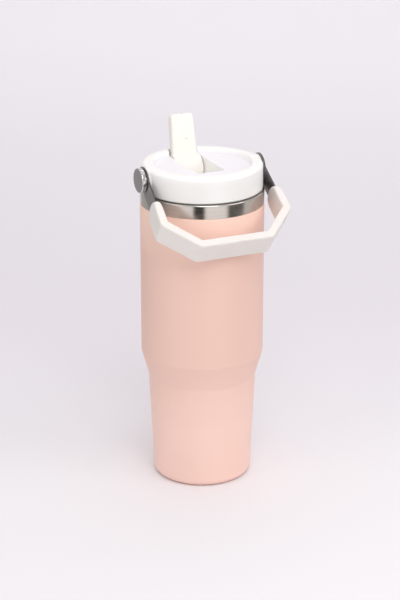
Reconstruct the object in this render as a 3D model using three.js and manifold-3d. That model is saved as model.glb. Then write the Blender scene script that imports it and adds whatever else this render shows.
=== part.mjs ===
// Insulated straw tumbler: a double-walled steel cup, a screw-in lid with a
// flip-up drinking spout, and a bail handle that swings on two pivot screws.
// Millimetres, +Z up, origin at the centre of the underside of the base.
// X is the handle's pivot axis. The handle hangs towards -Y, and the spout
// folds down towards -Y.

import * as THREE from 'three';
import { mergeVertices } from 'three/addons/utils/BufferGeometryUtils.js';
import Module from 'manifold-3d';

const wasm = await Module();
wasm.setup();

// ---------------------------------------------------------------- dimensions

const GAP = 0.3;               // clearance between neighbouring pieces
const SEG = 48;                // facets round the large turned pieces

// cup
const BODY_R = 44.0;           // upper body
const WAIST_R = 38.8;          // where the lower body meets the taper
const BASE_R = 35.6;           // lower body just above the base
const BASE_FILLET = 5.5;       // rounded bottom edge
const TAPER_Z0 = 77.3;         // bottom of the taper
const TAPER_Z1 = 95.7;         // top of the taper
const COAT_Z = 207.0;          // top of the coated wall, bottom of the bare band
const RIM_Z = 216.7;           // top of the rolled rim
const SHELL_T = 0.6;           // outer wall
const LINER_T = 0.5;           // inner wall
const WALL_GAP = 2.6;          // vacuum between the walls
const LINER_FLOOR = 6.0;       // inside bottom of the cup

// lid
const LID_R = 42.8;
const LID_Z0 = 217.5;          // bottom edge of the lid's skirt
const LID_CREST = 236.0;       // top of the raised rim
const DISH_Z = 232.5;          // sunk top face inside the rim
const DISH_R = 34.0;
const BOSS_R = 8.6;            // round boss on the lid's side under each eye of the strap
const BOSS_X = 43.6;
const LID_T = 1.5;
const PLUG_R = 39.4;
const PLUG_Z0 = 203.0;
const PLUG_Z1 = 218.2;
const THREAD_PITCH = 4.0;
const THREAD_H = 0.8;

// spout and its trough
const TROUGH_HALF = 10.7;      // half-width of the trough
const TROUGH_Y0 = -16.0;       // front end of the trough
const TROUGH_Y1 = 39.5;        // rear end of the trough
const TROUGH_Z = 220.8;        // floor of the trough
const HUB_Y = 29.0;
const HUB_Z = 223.5;
const HUB_R = 9.7;
const HUB_HALF = 9.7;
const WELL_R = 10.1;
const WELL_HALF = 10.2;        // half-width of the well round the hub
const SPOUT_LEAN = THREE.MathUtils.degToRad(11.85);
const SPOUT_LEN = 39.0;        // hub centre to the tip
const SPOUT_FRONT = -2.15;     // front face ahead of the hub centre
const SPOUT_BACK = 5.85;       // rear face behind the hub centre
const BORE_R = 2.3;
const STRAW_Y = 26.0;
const STRAW_R = 3.9;
const STRAW_ID = 3.1;
const STRAW_Z0 = 12.0;

// handle
const PIVOT_Z = 227.4;
const DROOP = THREE.MathUtils.degToRad(35.6);
const STRAP_T = 1.3;
const STRAP_W = 14.0;
const STRAP_X = 44.55;         // middle of the strap at the pivot
const EYE_R = 9.4;
const ELBOW_X = 46.3, ELBOW_L = 44.7;
const BAR_X = 25.8, BAR_L = 65.3;
const GRIP_T = 6.0;
const GRIP_W = 19.8;
const GRIP_L0 = 22.4;          // where the grip's rounded end starts on each arm
const CAP_R = 8.8;             // thick round cap on the left
const CAP_X = 48.8;
const HEAD_R = 6.6;            // low flat head on the right
const HEAD_X = 46.5;
const BUSH_R = 4.0;
const SHANK_R = 2.4;

// ------------------------------------------------------------------- colours

const PINK = { color: 0xf0cdbb, roughness: 0.5, metalness: 0.0 };
const STEEL = { color: 0xb9b2ac, roughness: 0.32, metalness: 1.0 };
const STEEL_DARK = { color: 0x8d8886, roughness: 0.4, metalness: 1.0 };
const WHITE = { color: 0xf4f1ee, roughness: 0.4, metalness: 0.0 };
const WARM_WHITE = { color: 0xf5f0e8, roughness: 0.45, metalness: 0.0 };
const SILICONE = { color: 0xdedcd8, roughness: 0.6, metalness: 0.0 };
const CLEAR = { color: 0xeaf0f0, roughness: 0.25, metalness: 0.0 };
const BRASS = { color: 0xc2a25a, roughness: 0.35, metalness: 1.0 };
const GLASSY = { color: 0x55524e, roughness: 0.3, metalness: 0.0 };

// ------------------------------------------------------------------- helpers

const v2 = (x, y) => new THREE.Vector2(x, y);

// a closed triangle mesh, facing out, as a solid that can be joined and cut
function solid(geometry) {
  const src = geometry.clone();
  for (const key of Object.keys(src.attributes)) if (key !== 'position') src.deleteAttribute(key);
  const g = mergeVertices(src, 1e-4);
  const pos = g.attributes.position, idx = g.index.array;
  const tri = [];
  const a = new THREE.Vector3(), b = new THREE.Vector3(), c = new THREE.Vector3();
  let volume = 0;
  for (let i = 0; i < idx.length; i += 3) {
    const [p, q, r] = [idx[i], idx[i + 1], idx[i + 2]];
    if (p === q || q === r || r === p) continue;
    tri.push(p, q, r);
    a.fromBufferAttribute(pos, p); b.fromBufferAttribute(pos, q); c.fromBufferAttribute(pos, r);
    volume += a.dot(b.cross(c));
  }
  if (volume < 0) for (let i = 0; i < tri.length; i += 3) [tri[i], tri[i + 1]] = [tri[i + 1], tri[i]];
  return new wasm.Manifold(new wasm.Mesh({
    numProp: 3,
    vertProperties: new Float32Array(pos.array),
    triVerts: new Uint32Array(tri),
  }));
}

function geometryOf(part) {
  const m = part.getMesh();
  const g = new THREE.BufferGeometry();
  g.setAttribute('position', new THREE.BufferAttribute(new Float32Array(m.vertProperties), 3));
  g.setIndex(new THREE.BufferAttribute(new Uint32Array(m.triVerts), 1));
  g.computeVertexNormals();
  return g;
}

// a closed outline of [radius, z] points turned about Z
function turned(points, segments = SEG) {
  const g = new THREE.LatheGeometry(points.map(([r, z]) => v2(r, z)), segments);
  g.rotateX(Math.PI / 2);
  return g;
}

// the same about an axis along X: points are [radius, x]
function turnedX(points, y, z, segments = 32) {
  const g = turned(points, segments);
  g.rotateY(Math.PI / 2);
  g.translate(0, y, z);
  return g;
}

const ring = (r0, r1, z0, z1) => [[r0, z0], [r1, z0], [r1, z1], [r0, z1], [r0, z0]];
const disc = (r, z0, z1) => [[0, z0], [r, z0], [r, z1], [0, z1]];

function box(x0, x1, y0, y1, z0, z1) {
  const g = new THREE.BoxGeometry(x1 - x0, y1 - y0, z1 - z0);
  g.translate((x0 + x1) / 2, (y0 + y1) / 2, (z0 + z1) / 2);
  return g;
}

// points along an arc from angle a0 to a1 (degrees) about (r, z)
function arc(r, z, radius, a0, a1, steps) {
  const out = [];
  for (let i = 0; i <= steps; i++) {
    const t = THREE.MathUtils.degToRad(a0 + (a1 - a0) * i / steps);
    out.push([r + radius * Math.cos(t), z + radius * Math.sin(t)]);
  }
  return out;
}

// a flat outline in the Y-Z plane, given thickness along X
function plateYZ(shape, x0, x1, bevel = 0, bevelSegments = 2) {
  const g = new THREE.ExtrudeGeometry(shape, {
    depth: x1 - x0 - 2 * bevel, curveSegments: 12, bevelEnabled: bevel > 0,
    bevelThickness: bevel, bevelSize: bevel, bevelOffset: -bevel, bevelSegments,
  });
  g.translate(0, 0, x0 + bevel);
  g.applyMatrix4(new THREE.Matrix4().makeBasis(
    new THREE.Vector3(0, 1, 0), new THREE.Vector3(0, 0, 1), new THREE.Vector3(1, 0, 0)));
  return g;
}

// a flat outline in the X-Z plane, given thickness along Y
function plateXZ(shape, y0, y1) {
  const g = new THREE.ExtrudeGeometry(shape, { depth: y1 - y0, curveSegments: 10, bevelEnabled: false });
  g.applyMatrix4(new THREE.Matrix4().makeBasis(
    new THREE.Vector3(1, 0, 0), new THREE.Vector3(0, 0, 1), new THREE.Vector3(0, -1, 0)));
  g.translate(0, y1, 0);
  return g;
}

const group = new THREE.Group();

function add(name, geometry, look, parent = group) {
  const material = new THREE.MeshStandardMaterial(look);
  const mesh = new THREE.Mesh(geometry, material);
  mesh.name = name;
  parent.add(mesh);
  return mesh;
}

// ----------------------------------------------------------------------- cup

const filletR = BASE_R - BASE_FILLET;

// coated outer wall: rounded foot, straight lower body, taper, straight upper body
function bodyProfile(inset) {
  const foot = arc(filletR, BASE_FILLET, BASE_FILLET - inset, -90, -8, 4);
  return [
    ...foot,
    [WAIST_R - 0.1 - inset, TAPER_Z0 - 2.0],
    [WAIST_R + 0.9 - inset, TAPER_Z0 + 3.0],
    [BODY_R - 0.9 - inset, TAPER_Z1 - 3.2],
    [BODY_R - inset, TAPER_Z1 + 2.0],
  ];
}

{
  const outer = bodyProfile(0), inner = bodyProfile(SHELL_T).reverse();
  const profile = [
    ...outer,
    [BODY_R, COAT_Z - GAP / 2],
    [BODY_R - SHELL_T, COAT_Z - GAP / 2],
    ...inner,
    outer[0],
  ];
  add('outer_shell', turned(profile), PINK);
}

// bright inner wall, rolled over at the rim and down outside as the bare band
{
  const inset = SHELL_T + WALL_GAP;
  const inR = BODY_R - inset, outR = inR + LINER_T;
  const bandR = BODY_R - 0.1, bandIn = bandR - LINER_T;
  const z = LINER_FLOOR;
  const profile = [
    [0, z - LINER_T],
    ...arc(27.3, z + 5.2, 5.2 + LINER_T, -75, -15, 2),
    [WAIST_R - inset + LINER_T, TAPER_Z0 - 1],
    [outR - 0.8, TAPER_Z1 - 2.4],
    [outR, TAPER_Z1 + 3],
    [outR, RIM_Z - 0.6],
    [bandIn, RIM_Z - 0.6],
    [bandIn, COAT_Z + GAP / 2],
    [bandR, COAT_Z + GAP / 2],
    [bandR, RIM_Z - 0.7],
    [bandR - 0.6, RIM_Z],
    [inR + 0.6, RIM_Z],
    [inR, RIM_Z - 0.7],
    [inR, TAPER_Z1 + 3],
    [inR - 0.8, TAPER_Z1 - 2.4],
    [WAIST_R - inset, TAPER_Z0 - 1],
    ...arc(27.3, z + 5.2, 5.2, -15, -75, 2),
    [0, z],
  ];
  add('inner_liner', turned(profile), STEEL);
}

// flat cover under the base, stamped from sheet
add('base_cover', turned(disc(filletR - GAP, 0, 0.8), 40), STEEL_DARK);

// welded disc that closes the vacuum space, with its sealing hole
add('vacuum_bottom', turned(ring(2.4, 32.4, 1.6, 2.2), 32), STEEL_DARK);

// bead that seals the evacuation hole
add('vacuum_seal', turned([[0, 1.2], [2.0, 1.2], [2.0, 2.5], [3.4, 2.5], [2.9, 3.2], [0, 3.3]], 20), GLASSY);

// getter tablet that keeps the vacuum
{
  const g = turned(disc(6, 2.6, 4.2), 24);
  g.translate(13, 0, 0);
  add('getter_disc', g, STEEL_DARK);
}

// ----------------------------------------------------------------------- lid

// sealing ring between the rim and the lid
add('lid_gasket', turned([
  [PLUG_R + GAP, 214.4], [40.3, 214.4], [40.4, 217.0], [41.0, 217.0],
  [41.0, 217.9], [PLUG_R + GAP, 217.9], [PLUG_R + GAP, 214.4]]), SILICONE);

const wellOutline = (r) => {
  const s = new THREE.Shape();
  s.absarc(HUB_Y, HUB_Z, r, 0, Math.PI * 2, false);
  return s;
};

// rounded rectangle from (x0,y0) to (x1,y1), as an outline with corner radii
function roundedRect(x0, x1, y0, y1, rFront, rRear) {
  const s = new THREE.Shape();
  s.moveTo(x0 + rFront, y0);
  s.lineTo(x1 - rFront, y0);
  s.absarc(x1 - rFront, y0 + rFront, rFront, -Math.PI / 2, 0, false);
  s.lineTo(x1, y1 - rRear);
  s.absarc(x1 - rRear, y1 - rRear, rRear, 0, Math.PI / 2, false);
  s.lineTo(x0 + rRear, y1);
  s.absarc(x0 + rRear, y1 - rRear, rRear, Math.PI / 2, Math.PI, false);
  s.lineTo(x0, y0 + rFront);
  s.absarc(x0 + rFront, y0 + rFront, rFront, Math.PI, Math.PI * 1.5, false);
  return s;
}
function blockXY(shape, z0, z1) {
  const g = new THREE.ExtrudeGeometry(shape, { depth: z1 - z0, curveSegments: 5, bevelEnabled: false });
  g.translate(0, 0, z0);
  return g;
}

const boss = (side, r, xa, xb, segments = 24) => {
  const g = turnedX(disc(r, xa, xb), 0, PIVOT_Z, segments);
  if (side < 0) g.scale(-1, 1, 1);
  return g;
};

{
  const cap = solid(turned([
    [LID_R - 0.5, LID_Z0],
    [LID_R, LID_Z0 + 0.6],
    [LID_R, 232.2],
    ...arc(LID_R - 2.6, 232.2, 2.6, 18, 62, 2),
    [39.6, 235.6], [37.0, LID_CREST],
    [35.5, LID_CREST - 0.3], [34.6, DISH_Z + 0.9], [DISH_R - 0.3, DISH_Z],
    [0, DISH_Z],
    [0, DISH_Z - LID_T],
    [34.4, DISH_Z - LID_T],
    [36.6, LID_CREST - LID_T - 0.3],
    [LID_R - LID_T, 231.0],
    [LID_R - LID_T, 220.0],
    [PLUG_R + GAP, 220.0],
    [PLUG_R + GAP, 218.3],
    [LID_R - LID_T, 218.3],
    [LID_R - LID_T, LID_Z0],
    [LID_R - 0.5, LID_Z0],
  ]));
  // tub of the trough and well, kept inside the lid's own outline
  const keep = solid(turned([[0, 205], [PLUG_R, 205], [PLUG_R, 218.4], [LID_R - 1.2, 218.4], [LID_R - 1.2, 234.4], [0, 234.4]]));
  let tub = solid(blockXY(roundedRect(-TROUGH_HALF - 1.7, TROUGH_HALF + 1.7, TROUGH_Y0 - 1.7, 46, 5.5, 1), TROUGH_Z - 1.6, DISH_Z - 0.5));
  tub = tub.add(solid(plateYZ(wellOutline(WELL_R + 1.5), -WELL_HALF - 1.6, WELL_HALF + 1.6))
    .intersect(solid(box(-30, 30, 0, 60, 200, 228))));
  tub = tub.intersect(keep);
  // pivot bosses: a thick one inside the skirt, a wide low one outside it
  let bosses = null;
  for (const side of [1, -1]) {
    const b = solid(boss(side, 5.6, 34.6, 42.0)).add(solid(boss(side, BOSS_R, 41.0, BOSS_X, 32)))
      .add(solid(boss(side, BOSS_R, 37.6, 42.0, 32)).intersect(solid(box(-50, 50, -20, 20, 234.2, 240))));
    bosses = bosses ? bosses.add(b) : b;
  }
  let lid = cap.add(tub).add(bosses);
  // trough open to the top, cut through the rear of the rim
  lid = lid.subtract(solid(blockXY(roundedRect(-TROUGH_HALF, TROUGH_HALF, TROUGH_Y0, TROUGH_Y1, 4, 2), TROUGH_Z, 240)));
  lid = lid.subtract(solid(plateYZ(wellOutline(WELL_R), -WELL_HALF, WELL_HALF)));
  // seat for the spout's seal, bearings for its trunnions
  const seat = turned(disc(4.6, 205, 218), 24);
  seat.translate(0, STRAW_Y, 0);
  lid = lid.subtract(solid(seat));
  lid = lid.subtract(solid(turnedX(disc(3.06, -16, 16), HUB_Y, HUB_Z, 24)));
  // bores for the pivot bushes and the threaded inserts
  for (const side of [1, -1]) {
    lid = lid.subtract(solid(boss(side, BUSH_R + GAP, 41.2, 44)));
    lid = lid.subtract(solid(boss(side, 3.9 + GAP, 35.2, 41.3)));
  }
  add('lid_cap', geometryOf(lid), WHITE);
}

// threaded plug that screws into the neck
{
  const wall = 1.8;
  let plug = solid(turned([
    [0, PLUG_Z0], [PLUG_R - 1.2, PLUG_Z0], [PLUG_R, PLUG_Z0 + 1.2], [PLUG_R, PLUG_Z1],
    [PLUG_R - wall, PLUG_Z1], [PLUG_R - wall, PLUG_Z0 + wall], [0, PLUG_Z0 + wall]]));
  class Helix extends THREE.Curve {
    getPoint(t, target = new THREE.Vector3()) {
      const a = t * Math.PI * 2 * 1.75;
      return target.set(PLUG_R * Math.cos(a), PLUG_R * Math.sin(a), 205.6 + THREAD_PITCH * t * 1.75);
    }
    computeFrenetFrames(steps) {
      const tangents = [], normals = [], binormals = [];
      for (let i = 0; i <= steps; i++) {
        const a = i / steps * Math.PI * 2 * 1.75;
        tangents.push(new THREE.Vector3(-Math.sin(a), Math.cos(a), 0));
        normals.push(new THREE.Vector3(Math.cos(a), Math.sin(a), 0));
        binormals.push(new THREE.Vector3(0, 0, 1));
      }
      return { tangents, normals, binormals };
    }
  }
  const tooth = new THREE.Shape([v2(-0.6, -1.2), v2(THREAD_H, -0.45), v2(THREAD_H, 0.45), v2(-0.6, 1.2)]);
  plug = plug.add(solid(new THREE.ExtrudeGeometry(tooth, { steps: 56, extrudePath: new Helix(), bevelEnabled: false })));
  // room for the spout's well, and holes for the straw adapter and the vent
  plug = plug.subtract(solid(plateYZ(wellOutline(WELL_R + 1.5 + GAP), -WELL_HALF - 2.0, WELL_HALF + 2.0)));
  const hole = turned(disc(3.1, 200, 208), 20);
  hole.translate(0, STRAW_Y, 0);
  plug = plug.subtract(solid(hole));
  const vent = turned(disc(1.9, 200, 208), 16);
  vent.translate(0, -20, 0);
  plug = plug.subtract(solid(vent));
  add('lid_plug', geometryOf(plug), WHITE);
}

// umbrella valve that lets air in as the cup empties
{
  const g = turned([[0, 202.0], [4.6, 202.2], [4.6, 202.7], [1.5, 202.7], [1.5, 205.1], [2.6, 205.1], [1.2, 206.8], [0, 206.8]], 20);
  g.translate(0, -20, 0);
  add('vent_valve', g, SILICONE);
}

// silicone seat pressed against the spout's hub
{
  const g = turned(ring(2.3, 4.2, 209.9, 217), 24);
  g.translate(0, STRAW_Y, 0);
  const seal = solid(g).subtract(solid(plateYZ(wellOutline(HUB_R + GAP), -8, 8)));
  add('spout_seal', geometryOf(seal), SILICONE);
}

// stepped tube that carries the straw through the plug
{
  const g = turned([
    [2.1, 195.5], [2.8, 197.0], [2.8, 205.1], [4.6, 205.1], [4.6, 206.1],
    [3.2, 206.1], [4.0, 209.6], [2.1, 209.6], [2.1, 195.5]], 20);
  g.translate(0, STRAW_Y, 0);
  add('straw_adapter', g, WHITE);
}

// drinking straw, open at both ends
{
  const g = turned(ring(STRAW_ID, STRAW_R, STRAW_Z0, PLUG_Z0 - GAP), 24);
  g.translate(0, STRAW_Y, 0);
  add('straw', g, CLEAR);
}

// pivot screws, shoulder bushes and threaded inserts: the left screw has a thick
// round cap, the right one a low flat head
for (const [side, tag, capR, capX] of [[1, 'right', HEAD_R, HEAD_X], [-1, 'left', CAP_R, CAP_X]]) {
  const face = STRAP_X + STRAP_T / 2;
  const flip = (g) => { if (side < 0) g.scale(-1, 1, 1); return geometryOf(solid(g)); };
  add('pivot_screw_' + tag, flip(turnedX([
    [0, 36.0], [SHANK_R, 36.0], [SHANK_R, face + GAP], [capR - 0.3, face + GAP], [capR, face + GAP + 0.3],
    [capR, capX - 0.5], [capR - 0.5, capX], [0, capX]], 0, PIVOT_Z, 32)), STEEL);
  add('pivot_bush_' + tag, flip(turnedX(
    ring(SHANK_R + GAP, BUSH_R, 41.5, face), 0, PIVOT_Z, 28)), WARM_WHITE);
  add('threaded_insert_' + tag, flip(turnedX(
    ring(SHANK_R + GAP, 3.9, 35.5, 41.2), 0, PIVOT_Z, 24)), BRASS);
}

// -------------------------------------------------------------------- handle

const handle = new THREE.Group();
handle.position.set(0, 0, PIVOT_Z);
handle.rotation.x = Math.PI + DROOP;
group.add(handle);

// outline in the plane of the bail: x across, l away from the pivots
function bailBand(thickness, l0) {
  const lead = [[STRAP_X, 9], [ELBOW_X, ELBOW_L], [BAR_X, BAR_L]];
  const pts = [];
  if (l0 < 9) pts.push([STRAP_X, l0], lead[0]);
  else pts.push([STRAP_X + (l0 - 9) / (ELBOW_L - 9) * (ELBOW_X - STRAP_X), l0]);
  pts.push(lead[1], lead[2]);
  const right = pts.map(([x, l]) => v2(x, l));
  const path = [...right, ...right.slice().reverse().map((p) => v2(-p.x, p.y))];
  const h = thickness / 2, left = [], out = [];
  for (let i = 0; i < path.length; i++) {
    const p = path[i];
    const d0 = i > 0 ? p.clone().sub(path[i - 1]).normalize() : null;
    const d1 = i < path.length - 1 ? path[i + 1].clone().sub(p).normalize() : null;
    const n0 = d0 && v2(-d0.y, d0.x), n1 = d1 && v2(-d1.y, d1.x);
    const n = n0 && n1 ? n0.clone().add(n1).normalize() : (n0 || n1);
    const k = h / n.dot(n0 || n1);
    left.push(v2(p.x + n.x * k, p.y + n.y * k));
    out.push(v2(p.x - n.x * k, p.y - n.y * k));
  }
  return new THREE.Shape([...left, ...out.reverse()]);
}
const bail = (thickness, l0, width, bevel) => {
  const g = new THREE.ExtrudeGeometry(bailBand(thickness - 2 * bevel, l0 + bevel), {
    depth: width - 2 * bevel, bevelEnabled: bevel > 0,
    bevelThickness: bevel, bevelSize: bevel, bevelSegments: 2 });
  g.translate(0, 0, -width / 2 + bevel);
  return g;
};

// one steel strap bent to the handle's outline, with an eye at each end
{
  let strap = solid(bail(STRAP_T, 0, STRAP_W, 0));
  for (const s of [1, -1]) {
    const x0 = STRAP_X - STRAP_T / 2, x1 = STRAP_X + STRAP_T / 2;
    const eye = turnedX(disc(EYE_R, x0, x1), 0, 0, 32);
    const bore = turnedX(disc(BUSH_R + 0.05, x0 - 2, x1 + 2), 0, 0, 28);
    if (s < 0) { eye.scale(-1, 1, 1); bore.scale(-1, 1, 1); }
    strap = strap.add(solid(eye)).subtract(solid(bore));
  }
  add('handle_strap', geometryOf(strap), STEEL, handle);
}

// moulded grip round the strap
{
  let grip = solid(bail(GRIP_T, GRIP_L0, GRIP_W, 1.0));
  const end = [[0, 3.0], [0.9, 6.0], [2.9, 8.4], [6.4, GRIP_W / 2]];
  const round = end.map(([l, h]) => v2(GRIP_L0 + l, h));
  grip = grip.intersect(solid(plateYZ(new THREE.Shape([
    ...round, v2(90, GRIP_W / 2), v2(90, -GRIP_W / 2), ...round.slice().reverse().map((q) => v2(q.x, -q.y))]), -60, 60)));
  grip = grip.subtract(solid(bail(STRAP_T + 2 * GAP, 5, STRAP_W + 2 * GAP, 0)));
  add('handle_grip', geometryOf(grip), WHITE, handle);
}

// --------------------------------------------------------------------- spout

// flip-up mouthpiece: a round hub with a trunnion on each side, and a tapered blade
{
  const u = v2(Math.sin(SPOUT_LEAN), Math.cos(SPOUT_LEAN));
  const v = v2(Math.cos(SPOUT_LEAN), -Math.sin(SPOUT_LEAN));
  const at = (s, t) => v2(HUB_Y + u.x * s + v.x * t, HUB_Z + u.y * s + v.y * t);
  const r = 1.5;
  const profile = new THREE.Shape([
    at(-2, SPOUT_FRONT), at(SPOUT_LEN - r, SPOUT_FRONT), at(SPOUT_LEN - 0.4, SPOUT_FRONT + 0.5), at(SPOUT_LEN, SPOUT_FRONT + r),
    at(SPOUT_LEN, SPOUT_BACK - 2.4), at(SPOUT_LEN - 0.7, SPOUT_BACK - 0.8), at(SPOUT_LEN - 2.4, SPOUT_BACK), at(-2, SPOUT_BACK)]);
  let blade = solid(plateYZ(profile, -9.5, 9.5, 1.3, 2));
  const front = new THREE.Shape([
    v2(-9.5, 222), v2(9.5, 222), v2(9.4, 234), v2(8.9, 259.3), v2(8.4, 261.6), v2(7.4, 263.3),
    v2(-7.4, 263.3), v2(-8.4, 261.6), v2(-8.9, 259.3), v2(-9.4, 234)]);
  blade = blade.intersect(solid(plateXZ(front, 10, 60)));
  const hub = solid(turnedX([
    [0, -HUB_HALF], [HUB_R - 0.8, -HUB_HALF], [HUB_R, -HUB_HALF + 0.8],
    [HUB_R, HUB_HALF - 0.8], [HUB_R - 0.8, HUB_HALF], [0, HUB_HALF]], HUB_Y, HUB_Z, 36));
  const trunnions = solid(turnedX(disc(3.0, -12.2, 12.2), HUB_Y, HUB_Z, 24));
  let spout = blade.add(hub).add(trunnions);
  // drinking channel: along the blade, then down to the seal
  const tube = (a, b, rad) => {
    const d = new THREE.Vector3().subVectors(b, a);
    const g = new THREE.CylinderGeometry(rad, rad, d.length(), 20);
    g.applyQuaternion(new THREE.Quaternion().setFromUnitVectors(new THREE.Vector3(0, 1, 0), d.clone().normalize()));
    g.translate((a.x + b.x) / 2, (a.y + b.y) / 2, (a.z + b.z) / 2);
    return solid(g);
  };
  const mid = (SPOUT_FRONT + SPOUT_BACK) / 2;
  const p = (s, t) => { const q = at(s, t); return new THREE.Vector3(0, q.x, q.y); };
  const knee = p(0.5, mid);
  spout = spout.subtract(tube(p(-0.5, mid), p(SPOUT_LEN + 4, mid), BORE_R));
  spout = spout.subtract(tube(new THREE.Vector3(0, STRAW_Y - 0.6, 210), knee, BORE_R));
  add('spout', geometryOf(spout), WARM_WHITE);
}

export default group;
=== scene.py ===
# Looks for the insulated straw tumbler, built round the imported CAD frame.
import bpy
import bmesh
import math
import numpy as np
from mathutils import Matrix, Vector


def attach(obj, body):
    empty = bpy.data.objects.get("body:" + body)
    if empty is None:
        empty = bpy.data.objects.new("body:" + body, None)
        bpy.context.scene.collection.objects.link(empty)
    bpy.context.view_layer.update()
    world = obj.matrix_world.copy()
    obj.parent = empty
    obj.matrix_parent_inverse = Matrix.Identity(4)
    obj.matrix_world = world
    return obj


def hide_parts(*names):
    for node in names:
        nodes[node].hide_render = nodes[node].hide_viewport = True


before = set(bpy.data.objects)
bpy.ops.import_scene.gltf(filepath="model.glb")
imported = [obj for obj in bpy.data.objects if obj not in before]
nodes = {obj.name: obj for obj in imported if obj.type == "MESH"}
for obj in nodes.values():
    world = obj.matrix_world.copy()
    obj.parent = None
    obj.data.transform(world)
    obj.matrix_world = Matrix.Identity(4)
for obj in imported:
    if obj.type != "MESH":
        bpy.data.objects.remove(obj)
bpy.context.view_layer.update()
MM = 0.001
COL = bpy.context.scene.collection

# ------------------------------------------------------------------ dimensions (mm, the CAD model's own)
BODY_R, WAIST_R, BASE_R, FILLET = 44.0, 38.8, 35.6, 5.5
TAPER0, TAPER1, COAT_Z, RIM_Z = 77.3, 95.7, 207.0, 216.7
SHELL_T, LINER_T, VAC = 0.6, 0.5, 2.6
LID_R, LID_Z0, CREST, DISH = 42.8, 217.5, 236.0, 232.5
BOSS_R, BOSS_X = 8.6, 43.6
PLUG_R, PLUG_Z0, PLUG_Z1 = 39.4, 203.0, 218.2
HUB_Y, HUB_Z, HUB_R, HUB_HALF = 29.0, 223.5, 9.7, 9.7
LEAN = math.radians(11.85)
SPOUT_LEN, SP_FRONT, SP_BACK = 39.0, -2.15, 5.3
PIVOT_Z, DROOP = 227.4, math.radians(35.6)
STRAP_T, STRAP_W, STRAP_X, EYE_R = 1.3, 14.0, 44.55, 9.4
ELBOW, BAR = (46.3, 44.7), (25.8, 65.3)
GRIP_T, GRIP_W, GRIP_L0 = 6.0, 19.8, 22.4
CAP_R, CAP_X, HEAD_R, HEAD_X = 8.8, 48.8, 6.6, 46.5
BUSH_R, SHANK_R = 4.0, 2.4


# ------------------------------------------------------------------ mesh helpers
def new_object(name, mesh):
    ob = bpy.data.objects.new(name, mesh)
    COL.objects.link(ob)
    return ob


def mesh_from_arrays(name, verts, quads, normals=None):
    me = bpy.data.meshes.new(name)
    n, m = len(verts), len(quads)
    k = quads.shape[1]
    me.vertices.add(n)
    me.vertices.foreach_set("co", np.ascontiguousarray(verts, np.float32).ravel())
    me.loops.add(m * k)
    me.loops.foreach_set("vertex_index", np.ascontiguousarray(quads, np.int32).ravel())
    me.polygons.add(m)
    me.polygons.foreach_set("loop_start", np.arange(0, m * k, k, dtype=np.int32))
    me.polygons.foreach_set("use_smooth", np.ones(m, bool))
    me.update(calc_edges=True)
    me.validate()
    if normals is not None:
        me.normals_split_custom_set_from_vertices([tuple(v) for v in normals])
    return me


def smooth_by_angle(ob, degrees=32):
    bm = bmesh.new()
    bm.from_mesh(ob.data)
    lim = math.radians(degrees)
    for f in bm.faces:
        f.smooth = True
    for e in bm.edges:
        e.smooth = not (len(e.link_faces) == 2 and e.calc_face_angle(0) > lim)
    bm.to_mesh(ob.data)
    bm.free()
    return ob


def round_profile(corners, seg_deg=9.0, close=True):
    """corners: (r, z, radius). Returns the outline with each corner rounded."""
    pts = []
    n = len(corners)
    for i, (x, y, rad) in enumerate(corners):
        p = np.array([x, y], float)
        if rad <= 0 or (not close and i in (0, n - 1)):
            pts.append(tuple(p))
            continue
        a = np.array(corners[i - 1][:2], float) - p
        b = np.array(corners[(i + 1) % n][:2], float) - p
        la, lb = np.linalg.norm(a), np.linalg.norm(b)
        a, b = a / la, b / lb
        ang = math.acos(max(-1, min(1, float(a @ b))))
        if ang > math.pi - 1e-3:
            pts.append(tuple(p))
            continue
        t = rad / math.tan(ang / 2)
        t = min(t, 0.499 * la, 0.499 * lb)
        r = t * math.tan(ang / 2)
        c = p + (a + b) / np.linalg.norm(a + b) * (r / math.sin(ang / 2))
        s, e = p + a * t, p + b * t
        a0, a1 = math.atan2(*(s - c)[::-1]), math.atan2(*(e - c)[::-1])
        d = (a1 - a0 + math.pi) % (2 * math.pi) - math.pi
        k = max(2, int(abs(math.degrees(d)) / seg_deg) + 1)
        for j in range(k + 1):
            w = a0 + d * j / k
            pts.append((c[0] + r * math.cos(w), c[1] + r * math.sin(w)))
    return pts


def lathe(name, pts, seg=128, axis="Z", centre=(0, 0, 0), closed=False, angle=30):
    """Turns an outline of (radius, height) in mm. closed: the outline is a loop off the axis."""
    bm = bmesh.new()
    rings = []
    for r, z in pts:
        if r < 1e-6:
            rings.append([bm.verts.new((0, 0, z))])
        else:
            rings.append([bm.verts.new((r * math.cos(2 * math.pi * k / seg), r * math.sin(2 * math.pi * k / seg), z)) for k in range(seg)])
    pairs = list(zip(rings, rings[1:]))
    if closed:
        pairs.append((rings[-1], rings[0]))
    for a, b in pairs:
        if len(a) == 1 and len(b) == 1:
            continue
        for k in range(seg):
            j = (k + 1) % seg
            if len(a) == 1:
                bm.faces.new((a[0], b[j], b[k]))
            elif len(b) == 1:
                bm.faces.new((a[k], a[j], b[0]))
            else:
                bm.faces.new((a[k], a[j], b[j], b[k]))
    bmesh.ops.recalc_face_normals(bm, faces=bm.faces)
    if bm.calc_volume(signed=True) < 0:
        bmesh.ops.reverse_faces(bm, faces=bm.faces)
    if axis == "X":
        bm.transform(Matrix(((0, 0, 1, 0), (1, 0, 0, 0), (0, 1, 0, 0), (0, 0, 0, 1))))
    if axis == "-X":
        bm.transform(Matrix(((0, 0, -1, 0), (-1, 0, 0, 0), (0, 1, 0, 0), (0, 0, 0, 1))))
    bm.transform(Matrix.Translation(Vector(centre)))
    bm.transform(Matrix.Scale(MM, 4))
    me = bpy.data.meshes.new(name)
    bm.to_mesh(me)
    bm.free()
    ob = new_object(name, me)
    return smooth_by_angle(ob, angle)


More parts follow.
